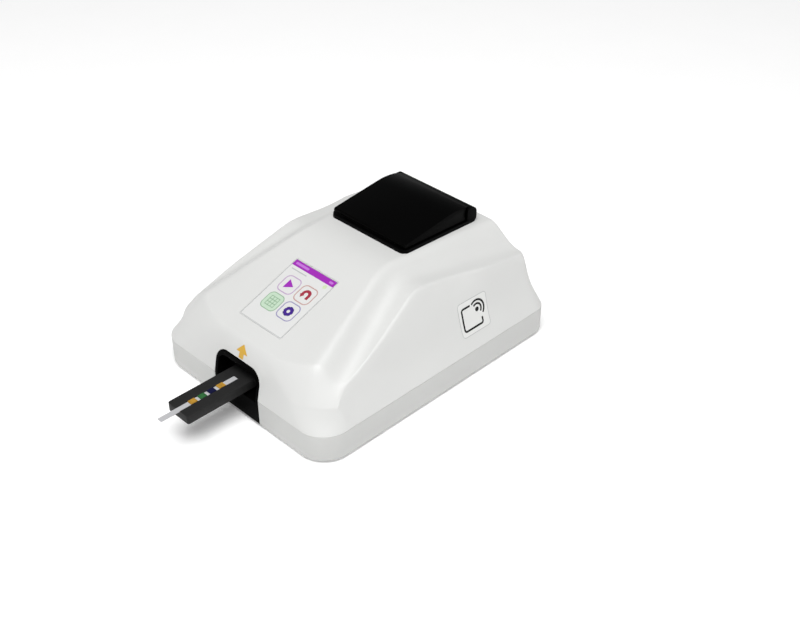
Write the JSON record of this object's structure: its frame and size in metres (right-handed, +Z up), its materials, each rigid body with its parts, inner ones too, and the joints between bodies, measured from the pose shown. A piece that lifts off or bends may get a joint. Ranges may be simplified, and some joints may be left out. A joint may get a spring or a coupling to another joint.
{
  "type": "strip analyzer",
  "caption": "Low bench analyzer with a raised hood, sliding strip tray, touch screen on a slope and a receipt printer under a hinged cover.",
  "frame": {"origin": "on the table, in the middle of the whole outline with the tray out", "axes": "+X to the right seen from the front, +Y from the tray towards the rear sockets, +Z up"},
  "size_m": [0.2, 0.3328, 0.115],
  "materials": {
    "body_white": "fine satin texture",
    "bezel_black": "satin",
    "printer_black": "fine texture",
    "tray_charcoal": "satin",
    "inner_grey": "satin",
    "foot_rubber": "matt",
    "platen_rubber": "matt",
    "steel": "brushed",
    "motor_steel": "satin",
    "port_metal": "satin",
    "port_black": "satin",
    "gear_ivory": "satin",
    "tile_white": "matt",
    "strip_white": "smooth",
    "pad_orange": "absorbent",
    "pad_green": "absorbent",
    "pad_blue": "absorbent",
    "lens_glass": "clear",
    "board_green": "solder mask",
    "screen": "lit screen under clear cover",
    "paper": "smooth paper",
    "core_tan": "card"
  },
  "bodies": {
    "housing": {"base_tub": "body_white", "upper_shell": "body_white", "front_bezel": "bezel_black", "feet": "foot_rubber", "case_screws": "steel", "tray_guide": "inner_grey", "guide_screws": "steel", "tray_motor": "motor_steel", "optics_housing": "bezel_black", "optics_lens": "lens_glass", "led_board": "board_green", "touch_glass": "screen", "lcd_module": "steel", "display_board": "board_green", "main_board": "board_green", "reader_board": "board_green", "board_screws": "steel", "printer_frame": "printer_black", "paper_bucket": "printer_black", "print_head": "motor_steel", "head_spring": "steel", "tear_bar": "steel", "printer_motor": "motor_steel", "hinge_pin": "steel", "power_inlet": "port_black", "usb_port": "port_metal", "device_port": "port_metal", "serial_port": "port_metal", "switch_housing": "port_black"},
    "tray": {"strip_tray": "tray_charcoal", "tray_rack": "gear_ivory", "reference_tile": "tile_white"},
    "strip": {"strip_backing": "strip_white", "pads_orange": "pad_orange", "pad_green": "pad_green", "pad_blue": "pad_blue"},
    "pinion": {"tray_pinion": "gear_ivory", "pinion_shaft": "steel"},
    "cover": {"printer_cover": "printer_black", "platen_bushings": "gear_ivory"},
    "platen": {"platen_roller": "platen_rubber", "platen_shaft": "steel", "platen_gear": "gear_ivory"},
    "drive": {"drive_gear": "gear_ivory", "motor_shaft": "steel"},
    "paper": {"paper_roll": "paper", "roll_core": "core_tan"},
    "rocker": {"switch_rocker": "port_black"}
  },
  "joints": [
    {"name": "tray_slide", "type": "slide", "parent": "housing", "child": "tray", "axis": [0, 1, 0], "range_m": [0, 0.075]},
    {"name": "strip_pull", "type": "slide", "parent": "tray", "child": "strip", "axis": [0, -1, 0], "range_m": [0, 0.08]},
    {"name": "pinion_spin", "type": "hinge", "parent": "housing", "child": "pinion", "pos_m": [0, 0.00172, 0.0176], "axis": [-1, 0, 0], "range_deg": [0, 690]},
    {"name": "cover_hinge", "type": "hinge", "parent": "housing", "child": "cover", "pos_m": [0, 0.12546, 0.10652], "axis": [-1, 0, 0], "range_deg": [0, 90]},
    {"name": "platen_spin", "type": "hinge", "parent": "cover", "child": "platen", "pos_m": [0, 0.05712, 0.09838], "axis": [1, 0, 0], "continuous": true},
    {"name": "drive_spin", "type": "hinge", "parent": "housing", "child": "drive", "pos_m": [0, 0.05914, 0.08756], "axis": [1, 0, 0], "continuous": true},
    {"name": "roll_spin", "type": "hinge", "parent": "housing", "child": "paper", "pos_m": [0, 0.09063, 0.07353], "axis": [1, 0, 0], "continuous": true},
    {"name": "rocker_tilt", "type": "hinge", "parent": "housing", "child": "rocker", "pos_m": [0.068, 0.16245, 0.0143], "axis": [0, 0, -1], "range_deg": [0, 20]}
  ],
  "couplings": [
    {"joint": "pinion_spin", "follows": "tray_slide", "rad_per_m": 156.25},
    {"joint": "drive_spin", "follows": "platen_spin", "ratio": -0.83333}
  ]
}
